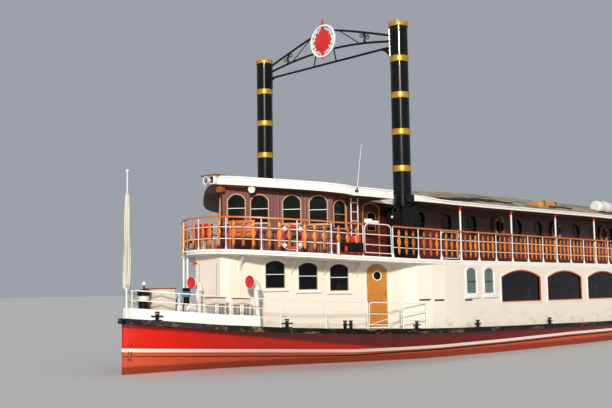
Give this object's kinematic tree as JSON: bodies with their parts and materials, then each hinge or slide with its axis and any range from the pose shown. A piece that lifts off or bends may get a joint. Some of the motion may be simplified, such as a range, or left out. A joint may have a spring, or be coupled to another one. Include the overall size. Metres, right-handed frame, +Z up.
{
  "type": "paddle steamer",
  "caption": "Two-deck stern-wheel river steamer with a red hull, tall black funnels joined by an arched truss, railed promenade, saloons, hinged doors and gates, rudders and a turning wheel.",
  "frame": {"origin": "amidships on the centreline, at the waterline", "axes": "+X towards the bow, +Y to port, +Z up"},
  "size_m": [36.07, 8.58, 13.15],
  "materials": {
    "hull_red": "weathered gloss enamel",
    "wheel_red": "satin enamel",
    "black_paint": "satin enamel",
    "black_gloss": "gloss enamel with gilded bands",
    "white_paint": "satin enamel",
    "cream_paint": "satin enamel",
    "maroon_boards": "painted boards with gilded trim",
    "varnished_wood": "gloss varnish",
    "window_glass": "clear, dark room behind",
    "dark_iron": "painted iron",
    "flag_cloth": "furled bunting",
    "raft_orange": "moulded shell",
    "white_plastic": "moulded shell"
  },
  "bodies": {
    "vessel": {"hull": "hull_red", "rubbing_strake": "black_paint", "bow_bulwark": "white_paint", "house_wall_port": "cream_paint", "house_wall_starboard": "cream_paint", "house_wall_front": "cream_paint", "house_wall_aft": "cream_paint", "glass_house_fore": "window_glass", "glass_house_aft": "window_glass", "upper_deck": "white_paint", "saloon_wall_port": "maroon_boards", "saloon_wall_starboard": "maroon_boards", "saloon_wall_aft": "maroon_boards", "glass_saloon_fore": "window_glass", "glass_saloon_aft": "window_glass", "roof": "white_paint", "searchlight": "white_paint", "upper_rail_fore": "white_paint", "upper_rail_aft": "white_paint", "handrail_fore": "varnished_wood", "handrail_aft": "varnished_wood", "deck_rail_fore": "white_paint", "deck_rail_port": "white_paint", "deck_rail_starboard": "white_paint", "funnel_port": "black_gloss", "funnel_starboard": "black_gloss", "funnel_casing_port": "black_paint", "funnel_casing_starboard": "black_paint", "funnel_truss": "black_gloss", "medallion": "white_paint", "wheel_beam_port": "black_paint", "wheel_beam_starboard": "black_paint", "cowl_port": "white_paint", "cowl_centre": "white_paint", "bow_locker": "cream_paint", "deck_box_centre": "white_paint", "deck_box_port": "white_paint", "windlass": "dark_iron", "jackstaff": "white_paint", "furled_flag": "flag_cloth", "bow_struts": "white_paint", "roof_ladder": "white_paint", "raft_box": "raft_orange", "raft_canister": "white_plastic", "engine_block": "dark_iron"},
    "wheel": {"paddle_wheel": "wheel_red"},
    "rudder_p": {"rudder_port": "hull_red"},
    "rudder_s": {"rudder_starboard": "hull_red"},
    "house_door_p": {"house_door_port": "varnished_wood"},
    "house_door_s": {"house_door_starboard": "varnished_wood"},
    "house_door_a": {"house_door_aft": "varnished_wood"},
    "saloon_door_p": {"saloon_door_port": "maroon_boards"},
    "saloon_door_s": {"saloon_door_starboard": "maroon_boards"},
    "saloon_door_a": {"saloon_door_aft": "varnished_wood"},
    "upper_gate_p": {"upper_gate_port": "white_paint"},
    "upper_gate_s": {"upper_gate_starboard": "white_paint"},
    "deck_gate_p": {"deck_gate_port": "white_paint"},
    "deck_gate_s": {"deck_gate_starboard": "white_paint"}
  },
  "joints": [
    {"name": "wheel_spin", "type": "hinge", "parent": "vessel", "child": "wheel", "pos_m": [-15.6, 0, 1.35], "axis": [0, 1, 0], "continuous": true},
    {"name": "rudder_turn", "type": "hinge", "parent": "vessel", "child": "rudder_p", "pos_m": [-13.48, 1.5, 0], "axis": [0, 0, 1], "range_deg": [-35, 35]},
    {"name": "rudder_follow", "type": "hinge", "parent": "vessel", "child": "rudder_s", "pos_m": [-13.48, -1.5, 0], "axis": [0, 0, 1], "range_deg": [-35, 35]},
    {"name": "house_door_port_swing", "type": "hinge", "parent": "vessel", "child": "house_door_p", "pos_m": [10.64718, 2.72756, 1.1], "axis": [0, 0, -1], "range_deg": [0, 95]},
    {"name": "house_door_starboard_swing", "type": "hinge", "parent": "vessel", "child": "house_door_s", "pos_m": [10.64718, -2.72756, 1.1], "axis": [0, 0, 1], "range_deg": [0, 95]},
    {"name": "house_door_aft_swing", "type": "hinge", "parent": "vessel", "child": "house_door_a", "pos_m": [-12.2103, 0.406, 1], "axis": [0, 0, -1], "range_deg": [0, 95]},
    {"name": "saloon_door_port_swing", "type": "hinge", "parent": "vessel", "child": "saloon_door_p", "pos_m": [10.746, 2.7403, 3.3], "axis": [0, 0, -1], "range_deg": [0, 95]},
    {"name": "saloon_door_starboard_swing", "type": "hinge", "parent": "vessel", "child": "saloon_door_s", "pos_m": [10.746, -2.7403, 3.3], "axis": [0, 0, 1], "range_deg": [0, 95]},
    {"name": "saloon_door_aft_swing", "type": "hinge", "parent": "vessel", "child": "saloon_door_a", "pos_m": [-10.8103, 0.406, 3.3], "axis": [0, 0, -1], "range_deg": [0, 95]},
    {"name": "upper_gate_port_swing", "type": "hinge", "parent": "vessel", "child": "upper_gate_p", "pos_m": [10.61976, 3.73897, 3.33027], "axis": [0, 0, 1], "range_deg": [0, 90]},
    {"name": "upper_gate_starboard_swing", "type": "hinge", "parent": "vessel", "child": "upper_gate_s", "pos_m": [10.61976, -3.73897, 3.33027], "axis": [0, 0, -1], "range_deg": [0, 90]},
    {"name": "deck_gate_port_swing", "type": "hinge", "parent": "vessel", "child": "deck_gate_p", "pos_m": [11.62902, 3.64412, 1.15607], "axis": [0, 0, -1], "range_deg": [0, 90]},
    {"name": "deck_gate_starboard_swing", "type": "hinge", "parent": "vessel", "child": "deck_gate_s", "pos_m": [11.62902, -3.64412, 1.15607], "axis": [0, 0, 1], "range_deg": [0, 90]}
  ],
  "couplings": [
    {"joint": "rudder_follow", "follows": "rudder_turn", "ratio": 1}
  ]
}
